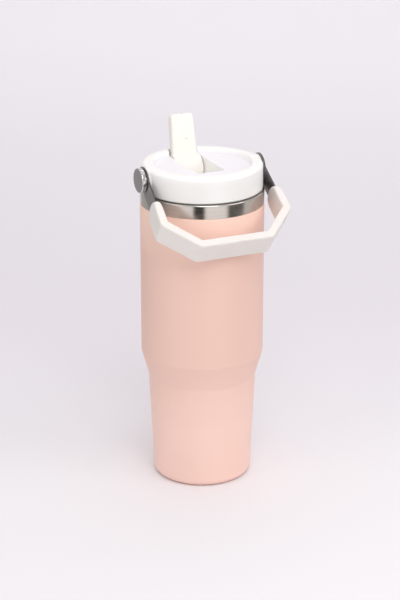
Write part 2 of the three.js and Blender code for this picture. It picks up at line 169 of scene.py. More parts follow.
# ------------------------------------------------------------------ solids from distance functions
def smax(a, b, k):
    h = np.maximum(k - np.abs(a - b), 0) / k
    return np.maximum(a, b) + h * h * k * 0.25


def smin(a, b, k):
    return -smax(-a, -b, k)


def poly_sdf(px, py, poly):
    """Signed distance in the plane to a closed outline."""
    poly = np.asarray(poly, float)
    d = np.full(px.shape, 1e9)
    s = np.ones(px.shape)
    n = len(poly)
    for i in range(n):
        ax, ay = poly[i]
        bx, by = poly[(i + 1) % n]
        ex, ey = bx - ax, by - ay
        L = ex * ex + ey * ey
        if L < 1e-12:
            continue
        wx, wy = px - ax, py - ay
        t = np.clip((wx * ex + wy * ey) / L, 0, 1)
        dx, dy = wx - ex * t, wy - ey * t
        d = np.minimum(d, dx * dx + dy * dy)
        c1, c2, c3 = py >= ay, py < by, ex * wy > ey * wx
        flip = (c1 & c2 & c3) | (~c1 & ~c2 & ~c3)
        s = np.where(flip, -s, s)
    return s * np.sqrt(d)


def path_dist(px, py, path):
    d = np.full(px.shape, 1e9)
    for (ax, ay), (bx, by) in zip(path, path[1:]):
        ex, ey = bx - ax, by - ay
        L = ex * ex + ey * ey
        wx, wy = px - ax, py - ay
        t = np.clip((wx * ex + wy * ey) / L, 0, 1)
        d = np.minimum(d, (wx - ex * t) ** 2 + (wy - ey * t) ** 2)
    return np.sqrt(d)


def surface(name, f, lo, hi, step, to_world=None, flip=False):
    """A smooth closed mesh of f < 0: dual grid mesh, then each point moved onto the surface. All in mm."""
    axes = [np.arange(lo[i], hi[i] + step, step) for i in range(3)]
    n = [len(a) for a in axes]
    V = np.empty(n)
    for i in range(0, n[0], 24):
        X, Y, Z = np.meshgrid(axes[0][i:i + 24], axes[1], axes[2], indexing="ij")
        V[i:i + 24] = f(X, Y, Z)
    V[V == 0] = 1e-6
    ins = V < 0
    cells = (n[0] - 1, n[1] - 1, n[2] - 1)
    acc = np.zeros(cells + (3,))
    cnt = np.zeros(cells)
    edges = []
    for a in range(3):
        lo_s = [slice(None)] * 3
        hi_s = [slice(None)] * 3
        lo_s[a], hi_s[a] = slice(0, -1), slice(1, None)
        v0, v1 = V[tuple(lo_s)], V[tuple(hi_s)]
        cross = ins[tuple(lo_s)] != ins[tuple(hi_s)]
        idx = np.argwhere(cross)
        t = v0[cross] / (v0[cross] - v1[cross])
        pos = np.stack([axes[i][idx[:, i]] for i in range(3)], 1)
        pos[:, a] += t * step
        out = ins[tuple(lo_s)][cross]          # inside first: the surface faces +a here
        b, c = (a + 1) % 3, (a + 2) % 3
        for db in (0, 1):
            for dc in (0, 1):
                ci = idx.copy()
                ci[:, b] -= db
                ci[:, c] -= dc
                ok = (ci[:, b] >= 0) & (ci[:, c] >= 0) & (ci[:, b] < cells[b]) & (ci[:, c] < cells[c])
                ci, pp = ci[ok], pos[ok]
                np.add.at(acc, (ci[:, 0], ci[:, 1], ci[:, 2]), pp)
                np.add.at(cnt, (ci[:, 0], ci[:, 1], ci[:, 2]), 1)
        edges.append((a, idx, out))
    used = cnt > 0
    index = np.full(cells, -1, np.int64)
    index[used] = np.arange(used.sum())
    P = acc[used] / cnt[used][:, None]
    quads = []
    for a, idx, out in edges:
        b, c = (a + 1) % 3, (a + 2) % 3
        ok = (idx[:, b] > 0) & (idx[:, c] > 0) & (idx[:, b] < cells[b]) & (idx[:, c] < cells[c])
        idx, out = idx[ok], out[ok]
        q = []
        for db, dc in ((1, 1), (0, 1), (0, 0), (1, 0)):
            ci = idx.copy()
            ci[:, b] -= db
            ci[:, c] -= dc
            q.append(index[ci[:, 0], ci[:, 1], ci[:, 2]])
        q = np.stack(q, 1)
        q[~out] = q[~out][:, ::-1]
        quads.append(q)
    quads = np.concatenate(quads)

    def grad(p):
        e = 0.02
        g = np.empty_like(p)
        for i in range(3):
            d = np.zeros(3)
            d[i] = e
            a_, b_ = p + d, p - d
            g[:, i] = (f(a_[:, 0], a_[:, 1], a_[:, 2]) - f(b_[:, 0], b_[:, 1], b_[:, 2])) / (2 * e)
        return g

    home = P.copy()
    for _ in range(4):
        g = grad(P)
        v = f(P[:, 0], P[:, 1], P[:, 2])
        s = v / np.maximum((g * g).sum(1), 0.05)
        P = P - g * s[:, None] * 0.9
        off = P - home
        L = np.linalg.norm(off, axis=1)
        far = L > 0.75 * step
        P[far] = home[far] + off[far] / L[far][:, None] * 0.75 * step
    g = grad(P)
    N = g / np.maximum(np.linalg.norm(g, axis=1), 1e-9)[:, None]
    if to_world is not None:
        R, T = to_world
        P = P @ R.T + T
        N = N @ R.T
        if np.linalg.det(R) < 0:
            quads = quads[:, ::-1]
    me = mesh_from_arrays(name, P * MM, quads, N)
    return new_object(name, me)


# ------------------------------------------------------------------ materials
def srgb(r, g, b):
    return tuple(((c / 255) / 12.92 if c / 255 <= 0.04045 else ((c / 255 + 0.055) / 1.055) ** 2.4) for c in (r, g, b)) + (1.0,)


class Mat:
    def __init__(self, name, rough=0.5, metal=0.0, **sockets):
        self.m = bpy.data.materials.new(name)
        self.m.use_nodes = True
        self.t = self.m.node_tree
        self.t.nodes.clear()
        self.out = self.t.nodes.new("ShaderNodeOutputMaterial")
        self.b = self.t.nodes.new("ShaderNodeBsdfPrincipled")
        self.t.links.new(self.b.outputs[0], self.out.inputs[0])
        self.b.inputs["Roughness"].default_value = rough
        self.b.inputs["Metallic"].default_value = metal
        for k, v in sockets.items():
            self.b.inputs[k.replace("_", " ")].default_value = v
        self.tc = self.node("ShaderNodeTexCoord")

    def node(self, kind, **props):
        nd = self.t.nodes.new(kind)
        for k, v in props.items():
            setattr(nd, k, v)
        return nd

    def link(self, a, b):
        self.t.links.new(a, b)

    def mapped(self, scale, loc=(0, 0, 0)):
        mp = self.node("ShaderNodeMapping")
        mp.inputs["Scale"].default_value = scale
        mp.inputs["Location"].default_value = loc
        self.link(self.tc.outputs["Object"], mp.inputs["Vector"])
        return mp.outputs[0]

    def noise(self, vec, scale, detail=2.0, rough=0.5, distortion=0.0):
        nz = self.node("ShaderNodeTexNoise")
        nz.inputs["Scale"].default_value = scale
        nz.inputs["Detail"].default_value = detail
        nz.inputs["Roughness"].default_value = rough
        nz.inputs["Distortion"].default_value = distortion
        self.link(vec, nz.inputs["Vector"])
        return nz.outputs["Fac"]

    def remap(self, fac, a0, a1, b0, b1):
        mr = self.node("ShaderNodeMapRange")
        for k, v in zip(("From Min", "From Max", "To Min", "To Max"), (a0, a1, b0, b1)):
            mr.inputs[k].default_value = v
        self.link(fac, mr.inputs["Value"])
        return mr.outputs[0]

    def mix(self, fac, c0, c1):
        mx = self.node("ShaderNodeMix", data_type="RGBA")
        mx.inputs["A"].default_value = c0 if isinstance(c0, tuple) else (0, 0, 0, 1)
        mx.inputs["B"].default_value = c1 if isinstance(c1, tuple) else (0, 0, 0, 1)
        ins = [s for s in mx.inputs if s.type == "RGBA"]
        for sock, c in zip(ins, (c0, c1)):
            if isinstance(c, tuple):
                sock.default_value = c
            else:
                self.link(c, sock)
        fs = [s for s in mx.inputs if s.name == "Factor" and s.type == "VALUE"][0]
        if isinstance(fac, float):
            fs.default_value = fac
        else:
            self.link(fac, fs)
        return [o for o in mx.outputs if o.type == "RGBA"][0]

    def math(self, op, a, b=0.0):
        mt = self.node("ShaderNodeMath", operation=op)
        for i, v in enumerate((a, b)):
            if isinstance(v, (int, float)):
                mt.inputs[i].default_value = v
            else:
                self.link(v, mt.inputs[i])
        return mt.outputs[0]

    def bump(self, height, strength, distance, chain=None):
        bp = self.node("ShaderNodeBump")
        bp.inputs["Strength"].default_value = strength
        bp.inputs["Distance"].default_value = distance
        self.link(height, bp.inputs["Height"])
        if chain is not None:
            self.link(chain, bp.inputs["Normal"])
        return bp.outputs[0]

    def set(self, **socks):
        for k, v in socks.items():
            self.link(v, self.b.inputs[k.replace("_", " ")])
        return self.m

    def xyz(self):
        sp = self.node("ShaderNodeSeparateXYZ")
        self.link(self.tc.outputs["Object"], sp.inputs[0])
        return sp.outputs


def m_powder():
    m = Mat("powder_coat", 0.46, 0.0, IOR=1.5, Coat_Weight=0.0)
    v = m.mapped((1, 1, 1))
    cloud = m.noise(v, 18, 3, 0.55)
    grain = m.noise(v, 2600, 2, 0.6)
    peel = m.noise(v, 620, 2, 0.5)
    h = m.xyz()[2]
    # painted shade: a mid-body band, about 100 to 172 mm up, is mixed toward a darker pink
    painted_light_ramp = m.math("MULTIPLY", m.remap(h, 0.045, 0.100, 0.0, 1.0), m.remap(h, 0.172, 0.203, 1.0, 0.0))
    c = m.mix(m.remap(cloud, 0.3, 0.7, 0, 1), srgb(247, 210, 198), srgb(245, 206, 193))
    c = m.mix(painted_light_ramp, c, srgb(236, 197, 184))
    # painted light: the coat turns lighter from 172 mm up to the neck band at 203 mm
    c = m.mix(m.remap(h, 0.172, 0.203, 0.0, 1.0), c, srgb(252, 215, 200))
    c = m.mix(m.remap(grain, 0.35, 0.75, 0, 0.16), c, srgb(250, 224, 212))
    r = m.remap(grain, 0.3, 0.7, 0.42, 0.52)
    n = m.bump(peel, 0.12, 0.00006)
    n = m.bump(grain, 0.16, 0.00002, n)
    return m.set(Base_Color=c, Roughness=r, Normal=n)


def m_brushed(name, base, dark, scale, rough=(0.24, 0.36), aniso=0.6, tangent="Z", rot=0.25, strength=0.12):
    """Straight or turned brushing: scale squeezes the noise into lines."""
    m = Mat(name, 0.3, 1.0, Anisotropic=aniso, Anisotropic_Rotation=rot)
    if tangent:
        tn = m.node("ShaderNodeTangent", direction_type="RADIAL", axis=tangent)
        m.link(tn.outputs[0], m.b.inputs["Tangent"])
    fine = m.noise(m.mapped(scale), 1.0, 4, 0.62)
    wide = m.noise(m.mapped(tuple(s * 0.22 for s in scale), (3.1, 1.7, 0.4)), 1.0, 3, 0.5)
    smudge = m.noise(m.mapped((1, 1, 1), (0.3, 0.2, 0.1)), 34, 3, 0.5)
    c = m.mix(m.remap(fine, 0.3, 0.7, 0, 1), dark, base)
    c = m.mix(m.remap(wide, 0.35, 0.7, 0, 0.35), c, dark)
    r = m.math("ADD", m.remap(fine, 0.3, 0.7, rough[0], rough[1]), m.remap(smudge, 0.4, 0.7, 0, 0.05))
    n = m.bump(fine, strength, 0.00003)
    return m.set(Base_Color=c, Roughness=r, Normal=n)


def m_turned_cap(centre):
    """Turned face with fine rings, polished edge."""
    m = Mat("turned_cap_steel", 0.3, 1.0, Anisotropic=0.35, Anisotropic_Rotation=0.25)
    tn = m.node("ShaderNodeTangent", direction_type="RADIAL", axis="X")
    m.link(tn.outputs[0], m.b.inputs["Tangent"])
    s = m.xyz()
    dy = m.math("SUBTRACT", s[1], centre[1])
    dz = m.math("SUBTRACT", s[2], centre[2])
    rad = m.math("SQRT", m.math("ADD", m.math("MULTIPLY", dy, dy), m.math("MULTIPLY", dz, dz)))
    comb = m.node("ShaderNodeCombineXYZ")
    m.link(m.math("MULTIPLY", rad, 6500.0), comb.inputs[0])
    m.link(m.math("MULTIPLY", dy, 40.0), comb.inputs[1])
    m.link(m.math("MULTIPLY", dz, 40.0), comb.inputs[2])
    ringn = m.noise(comb.outputs[0], 1.0, 3, 0.6)
    edge = m.remap(rad, 0.0080, 0.0084, 0.0, 1.0)
    c = m.mix(m.remap(ringn, 0.3, 0.7, 0, 1), (0.36, 0.345, 0.34, 1), (0.52, 0.505, 0.50, 1))
    c = m.mix(edge, c, (0.66, 0.65, 0.645, 1))
    rr = m.remap(ringn, 0.3, 0.7, 0.26, 0.4)
    face = m.math("MULTIPLY", rr, m.math("SUBTRACT", 1.0, edge))
    r = m.math("ADD", face, m.math("MULTIPLY", edge, 0.07))
    hgt = m.math("MULTIPLY", ringn, m.math("SUBTRACT", 1.0, edge))
    n = m.bump(hgt, 0.14, 0.00003)
    return m.set(Base_Color=c, Roughness=r, Normal=n)


def m_plastic(name, light, shade, rough=0.36, spread=0.06, grain=1500, bump=0.05, sss=0.0, tint=24, **kw):
    m = Mat(name, rough, 0.0, **kw)
    if sss:
        m.b.inputs["Subsurface Weight"].default_value = sss
        m.b.inputs["Subsurface Scale"].default_value = 0.0025
        m.b.inputs["Subsurface Radius"].default_value = (1.0, 0.85, 0.7)
    v = m.mapped((1, 1, 1))
    cloud = m.noise(v, tint, 3, 0.5)
    fine = m.noise(v, grain, 2, 0.55)
    c = m.mix(m.remap(cloud, 0.3, 0.72, 0, 1), light, shade)
    r = m.remap(fine, 0.3, 0.7, rough - spread, rough + spread)
    n = m.bump(fine, bump, 0.00002)
    return m.set(Base_Color=c, Roughness=r, Normal=n)


def m_lid():
    """Satin white, with painted shade: a cooler, slightly darker tint in the sunk top face."""
    m = Mat("lid_white_plastic", 0.32, 0.0, IOR=1.49)
    m.b.inputs["Subsurface Weight"].default_value = 0.28
    m.b.inputs["Subsurface Scale"].default_value = 0.006
    m.b.inputs["Subsurface Radius"].default_value = (1.0, 0.9, 0.8)
    p = m.xyz()
    rad = m.math("SQRT", m.math("ADD", m.math("MULTIPLY", p[0], p[0]), m.math("MULTIPLY", p[1], p[1])))
    # painted shade: the sunk top face inside the rim gets a cooler, darker tint
    dish_painted_shade = m.math("MULTIPLY", m.remap(rad, 0.0338, 0.0352, 1.0, 0.0), m.remap(p[2], 0.2305, 0.2320, 0.0, 1.0))
    v = m.mapped((1, 1, 1))
    cloud = m.noise(v, 24, 3, 0.5)
    fine = m.noise(v, 1400, 2, 0.55)
    c = m.mix(m.remap(cloud, 0.3, 0.72, 0, 1), srgb(253, 251, 248), srgb(250, 247, 244))
    c = m.mix(dish_painted_shade, c, srgb(250, 246, 251))
    return m.set(Base_Color=c, Roughness=m.remap(fine, 0.3, 0.7, 0.28, 0.36), Normal=m.bump(fine, 0.04, 0.00002))


def m_strap():
    """Brushed along its length; faces turned away from X, mostly the sheared edges, carry a painted dark reflection.
    """
    m = Mat("brushed_strap_steel", 0.32, 1.0, Anisotropic=0.45, Anisotropic_Rotation=0.0)
    tn = m.node("ShaderNodeTangent", direction_type="RADIAL", axis="X")
    m.link(tn.outputs[0], m.b.inputs["Tangent"])
    fine = m.noise(m.mapped((260, 3200, 3200)), 1.0, 4, 0.62)
    smudge = m.noise(m.mapped((1, 1, 1), (0.3, 0.2, 0.1)), 40, 3, 0.5)
    nv = m.node("ShaderNodeSeparateXYZ")
    m.link(m.tc.outputs["Normal"], nv.inputs[0])
    # painted dark reflection: faces whose normal turns away from X are mixed toward near-black and made rougher
    edge = m.remap(m.math("ABSOLUTE", nv.outputs[0]), 0.4, 0.7, 1.0, 0.0)
    c = m.mix(m.remap(fine, 0.3, 0.7, 0, 1), (0.30, 0.285, 0.285, 1), (0.40, 0.385, 0.385, 1))
    c = m.mix(edge, c, (0.085, 0.08, 0.078, 1))
    r = m.math("ADD", m.remap(fine, 0.3, 0.7, 0.26, 0.38), m.remap(smudge, 0.4, 0.7, 0, 0.05))
    r = m.math("ADD", r, m.math("MULTIPLY", edge, 0.15))
    return m.set(Base_Color=c, Roughness=r, Normal=m.bump(fine, 0.12, 0.00003))


def m_straw():
    m = Mat("straw_plastic", 0.22, 0.0, IOR=1.49, Transmission_Weight=0.55, Subsurface_Weight=0.0)
    z = m.noise(m.mapped((1, 1, 0.05)), 900, 2, 0.5)
    c = m.mix(m.remap(z, 0.3, 0.7, 0, 1), (0.86, 0.9, 0.9, 1), (0.93, 0.95, 0.95, 1))
    r = m.remap(z, 0.3, 0.7, 0.16, 0.28)
    return m.set(Base_Color=c, Roughness=r, Normal=m.bump(z, 0.05, 0.00002))


POWDER = m_powder()
BAND = m_brushed("brushed_neck_steel", (0.70, 0.655, 0.62, 1), (0.56, 0.515, 0.48, 1), (45, 45, 5200), rough=(0.16, 0.24), aniso=0.82, strength=0.07)
STRAP = m_strap()
SHEET = m_brushed("stamped_sheet_steel", (0.48, 0.46, 0.45, 1), (0.36, 0.345, 0.335, 1), (900, 60, 60), aniso=0.3, tangent="Z", rot=0.0)
CAP_STEEL = m_turned_cap((0, 0, PIVOT_Z * MM))
LID = m_lid()
PLUG = m_plastic("plug_plastic", srgb(240, 239, 236), srgb(232, 231, 228), 0.46, 0.05, 1100, 0.07, 0.1)
SPOUT = m_plastic("spout_soft_plastic", srgb(246, 242, 237), srgb(243, 238, 232), 0.42, 0.05, 1700, 0.06, 0.2)
GRIP = m_plastic("grip_plastic", srgb(238, 232, 229), srgb(232, 226, 223), 0.36, 0.05, 1300, 0.06, 0.3)
SILICONE = m_plastic("silicone", srgb(214, 213, 210), srgb(202, 201, 198), 0.5, 0.06, 900, 0.08, 0.3)
ACETAL = m_plastic("acetal_bush", srgb(228, 222, 208), srgb(220, 213, 198), 0.4, 0.05, 1200, 0.05, 0.1)
BRASS = m_brushed("turned_brass", (0.62, 0.44, 0.17, 1), (0.45, 0.31, 0.11, 1), (4200, 60, 60), aniso=0.3, tangent="X", rot=0.25)
GLASS = m_plastic("solder_glass", srgb(74, 70, 66), srgb(52, 49, 46), 0.2, 0.05, 700, 0.12, 0.0)
STRAW = m_straw()


def dress(ob, mat, slot, body, *replaced):
    ob.data.materials.clear()
    ob.data.materials.append(mat)
    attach(ob, body)
    if replaced:
        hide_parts(*replaced)
    return ob


# ------------------------------------------------------------------ cup
def cup_outline(inset):
    f = BASE_R - FILLET
    cs = [(f, 0.0 + inset, 0)]
    pts = []
    for i in range(13):
        a = math.radians(-90 + 85 * i / 12)
        pts.append((f + (FILLET - inset) * math.cos(a), FILLET + (FILLET - inset) * math.sin(a)))
    body = round_profile([
        (pts[-1][0], pts[-1][1], 0),
        (WAIST_R - inset, TAPER0, 9.0),
        (BODY_R - inset, TAPER1, 9.0),
        (BODY_R - inset, 200.0, 0)], 3.0, close=False)
    out = pts + body[1:-1]
    return out


outer = cup_outline(0.0)
inner = cup_outline(SHELL_T)
# the long straight walls get rings of their own so that the mesh stays even
def with_rings(pts, z_top, step=9.0):
    out = list(pts)
    r, z = out[-1]
    n = max(1, int((z_top - z) / step))
    for i in range(1, n):
        out.append((r, z + (z_top - z) * i / n))
    return out


top_lip = round_profile([
    (BODY_R, 190, 0), (BODY_R, COAT_Z - 0.1, 0.25), (BODY_R - SHELL_T, COAT_Z - 0.1, 0.15), (BODY_R - SHELL_T, 190, 0)], 20, close=False)
shell_pts = with_rings(outer, 200.0) + top_lip[1:-1] + [(BODY_R - SHELL_T, 200.0)] + list(reversed(inner))
shell = lathe("cup_outer_wall", shell_pts, 160, closed=True, angle=40)
dress(shell, POWDER, "coated_steel", "cup", "outer_shell")

inset = SHELL_T + VAC
in_r = BODY_R - inset
band_r = BODY_R - 0.1
liner_pts = round_profile([
    (0, 5.5, 0), (32.6 + LINER_T, 5.5, 6.0), (WAIST_R - inset + LINER_T, TAPER0, 9.0),
    (in_r + LINER_T, TAPER1, 9.0), (in_r + LINER_T, RIM_Z - 0.55, 0.25), (band_r - LINER_T, RIM_Z - 0.55, 0.25),
    (band_r - LINER_T, COAT_Z + 0.05, 0.0), (band_r, COAT_Z + 0.05, 0.0), (band_r, RIM_Z, 0.8), (in_r, RIM_Z, 0.8),
    (in_r, TAPER1, 9.0), (WAIST_R - inset, TAPER0, 9.0), (32.6, 6.0, 5.5), (0, 6.0, 0)], 6.0, close=False)
liner = lathe("cup_liner", liner_pts, 160, angle=40)
dress(liner, BAND, "brushed_steel", "cup", "inner_liner")

# stamped base cover: shallow rings pressed into the flat disc
base_pts = round_profile([
    (0, 0.0, 0), (8.0, 0.0, 0.3), (8.5, 0.22, 0.3), (9.5, 0.22, 0.3), (10.0, 0.0, 0.3),
    (24.0, 0.0, 0.3), (24.6, 0.25, 0.3), (26.2, 0.25, 0.3), (26.8, 0.0, 0.3), (29.8, 0.0, 0.3), (29.8, 0.8, 0.2), (0, 0.8, 0)], 20, close=False)
base = lathe("base_cover_disc", base_pts, 128, angle=30)
dress(base, SHEET, "sheet_steel", "cup", "base_cover")

# ------------------------------------------------------------------ lid cap
cap_outline = round_profile([
    (-6, DISH, 0), (34.0, DISH, 0.9), (35.4, CREST + 0.1, 1.2), (40.9, 235.85, 2.8), (LID_R, 234.3, 2.0),
    (LID_R, LID_Z0, 0.7), (41.3, LID_Z0, 0.3), (41.3, 218.3, 0.0), (39.7, 218.3, 0.0), (39.7, 220.0, 0.0),
    (41.3, 220.0, 0.0), (41.3, 231.0, 0.5), (36.6, CREST - 1.8, 0.5), (34.4, DISH - 1.5, 0.5), (-6, DISH - 1.5, 0)], 8.0)


def rrect2(x, y, x0, x1, y0, y1, r):
    cx, cy, hx, hy = (x0 + x1) / 2, (y0 + y1) / 2, (x1 - x0) / 2 - r, (y1 - y0) / 2 - r
    qx, qy = np.abs(x - cx) - hx, np.abs(y - cy) - hy
    return np.hypot(np.maximum(qx, 0), np.maximum(qy, 0)) + np.minimum(np.maximum(qx, qy), 0) - r


def lid_f(x, y, z):
    r = np.hypot(x, y)
    body = poly_sdf(r, z, cap_outline)
    hub = np.hypot(y - HUB_Y, z - HUB_Z)
    keep = np.where(z < 218.4, r - 39.4, r - 41.6)
    tub = smax(rrect2(x, y, -12.3, 12.3, -17.6, 46.0, 5.4), np.maximum(219.2 - z, z - 232.0), 1.0)
    well = smax(hub - 11.6, np.abs(x) - 11.8, 0.6)
    well = np.maximum(well, z - 228)
    tub = np.maximum(np.minimum(tub, well), keep)
    piv = np.hypot(y, z - PIVOT_Z)
    boss = np.maximum(piv - 5.6, np.maximum(34.6 - np.abs(x), np.abs(x) - 42.0))
    d = smin(smin(body, tub, 0.6), boss, 0.4)
    # low round boss outside, flush with the rim at its top
    pad = smax(piv - BOSS_R, np.abs(x) - BOSS_X, 0.9)
    pad = np.maximum(pad, np.where(z > 234.0, 37.6 - np.abs(x), 41.0 - np.abs(x)))
    d = smin(d, pad, 1.2)
    cut = smax(rrect2(x, y, -10.7, 10.7, -16.0, 39.5, 3.6), 220.8 - z, 1.6)
    dig = smax(hub - 10.1, np.abs(x) - 10.2, 0.5)
    cut = smin(cut, dig, 0.5)
    d = smax(d, -cut, 1.0)
    d = np.maximum(d, -np.maximum(np.hypot(x, y - 26.0) - 4.6, z - 218))
    d = np.maximum(d, -np.maximum(hub - 3.1, np.abs(x) - 16))
    d = np.maximum(d, -np.maximum(piv - np.where(np.abs(x) > 41.2, 4.3, 4.2), 35.2 - np.abs(x)))
    return d


lid = surface("lid_shell", lid_f, (-45, -45, 209.6), (45, 45, 238), 0.62)
dress(lid, LID, "white_plastic", "lid", "lid_cap")

# ------------------------------------------------------------------ plug with its screw thread, gasket, straw
def plug_f(x, y, z):
    r = np.hypot(x, y)
    outerp = smax(r - PLUG_R, PLUG_Z0 - z, 1.2)
    hollow = smax(r - (PLUG_R - 1.8), (PLUG_Z0 + 1.8) - z, 1.0)
    d = np.maximum(np.maximum(outerp, -hollow), z - PLUG_Z1)
    # helical ridge, 1.75 turns of 4 mm pitch
    a = np.arctan2(y, x) % (2 * np.pi)
    best = np.full(r.shape, 1e9)
    for turn in (0, 1):
        t = a + turn * 2 * np.pi
        zc = 205.6 + 4.0 * t / (2 * np.pi)
        fade = np.clip((1.75 * 2 * np.pi - t) / 0.35, 0, 1) * np.clip(t / 0.35, 0, 1)
        ridge = np.maximum(r - (PLUG_R + 0.8 * fade), 0.72 * (np.abs(z - zc) - 0.45 - (PLUG_R + 0.8 - r) * 0.9))
        ridge = np.where(t <= 1.75 * 2 * np.pi, ridge, 1e9)
        best = np.minimum(best, ridge)
    d = np.minimum(d, np.maximum(best, (PLUG_R - 0.8) - r))
    hub = np.hypot(y - HUB_Y, z - HUB_Z)
    d = np.maximum(d, -np.maximum(hub - 11.9, np.abs(x) - 12.2))
    d = np.maximum(d, 3.1 - np.hypot(x, y - 26.0))
    d = np.maximum(d, 1.9 - np.hypot(x, y + 20.0))
    return d


plug = surface("lid_screw_plug", plug_f, (-42, -42, 201.5), (42, 42, 219.5), 0.7)
dress(plug, PLUG, "plug_plastic", "lid", "lid_plug")

gasket = lathe("lid_seal_ring", round_profile([
    (39.7, 214.4, 0.25), (40.3, 214.4, 0.25), (40.4, 217.0, 0.15), (41.0, 217.0, 0.3), (41.0, 217.9, 0.3), (39.7, 217.9, 0.3)], 18), 160, closed=True, angle=50)
dress(gasket, SILICONE, "silicone", "gasket", "lid_gasket")

straw = lathe("drinking_straw", round_profile([
    (3.1, 12.0, 0.2), (3.9, 12.0, 0.35), (3.9, 202.7, 0.2), (3.1, 202.7, 0.2)], 25), 48, centre=(0, 26.0, 0), closed=True, angle=50)
dress(straw, STRAW, "straw_plastic", "lid", "straw")

# ------------------------------------------------------------------ pivot screws
for side, tag in ((1, "right"), (-1, "left")):
    face = STRAP_X + STRAP_T / 2
    if side > 0:
        tail = [(HEAD_R, face + 0.3, 0.15), (HEAD_R, HEAD_X - 0.05, 0.45), (5.0, HEAD_X, 2.0), (0, HEAD_X, 0)]
    else:
        tail = [(CAP_R, face + 0.3, 0.35), (CAP_R, CAP_X - 0.12, 0.75), (6.6, CAP_X - 0.02, 3.0), (0, CAP_X, 0)]
    pts = round_profile([(0, 36.0, 0), (SHANK_R, 36.0, 0.4), (SHANK_R, face + 0.3, 0)] + tail, 10, close=False)
    cap = lathe("pivot_cap_" + tag, pts, 96, axis="X" if side > 0 else "-X", centre=(0, 0, PIVOT_Z), angle=35)
    dress(cap, CAP_STEEL, "pivot_steel", "lid", "pivot_screw_" + tag)

# ------------------------------------------------------------------ handle
LDIR = np.array([0, -math.cos(DROOP), -math.sin(DROOP)])
HDIR = np.array([0, -math.sin(DROOP), math.cos(DROOP)])
HANDLE_R = np.stack([np.array([1.0, 0, 0]), LDIR, HDIR], 1)       # columns: x, l, h
HANDLE_T = np.array([0, 0, PIVOT_Z])


def bail_path(radius, l0=0.0):
    half = [(STRAP_X, l0, 0), (STRAP_X, 9.0, 25.0 if l0 < 9 else 0), (ELBOW[0], ELBOW[1], radius), (BAR[0], BAR[1], radius)]
    if l0 >= 9:
        t = (l0 - 9) / (ELBOW[1] - 9)
        half = [(STRAP_X + t * (ELBOW[0] - STRAP_X), l0, 0)] + half[2:]
    full = half + [(-x, l, r) for x, l, r in reversed(half)]
    return round_profile(full, 8.0, close=False)


grip_path = bail_path(2.6, 12.0)
strap_path = bail_path(2.6, 0.0)
GR = 1.25


def grip_f(x, l, h):
    thin = 0.85 * np.clip((36.0 - l) / 14.0, 0, 1) ** 1.4
    d2 = path_dist(x, l, grip_path) - (GRIP_T / 2 - thin)
    w1, w2 = d2 + GR, np.abs(h) - (GRIP_W / 2 - GR)
    d = np.hypot(np.maximum(w1, 0), np.maximum(w2, 0)) + np.minimum(np.maximum(w1, w2), 0) - GR
    dl = np.maximum(GRIP_L0 + 7.0 - l, 0)
    e = (np.sqrt((dl / 7.0) ** 2 + (h / (GRIP_W / 2)) ** 2 + 1e-9) - 1) * 7.0
    d = smax(d, e, 2.0)
    slot = np.maximum(path_dist(x, l, strap_path) - (STRAP_T / 2 + 0.3), np.abs(h) - (STRAP_W / 2 + 0.3))
    return smax(d, -np.maximum(slot, l - 31.0), 0.25)


grip = surface("handle_grip_shell", grip_f, (-51.0, 19, -11.0), (51.0, 70, 11.0), 0.5, to_world=(HANDLE_R, HANDLE_T))
dress(grip, GRIP, "grip_plastic", "handle", "handle_grip")


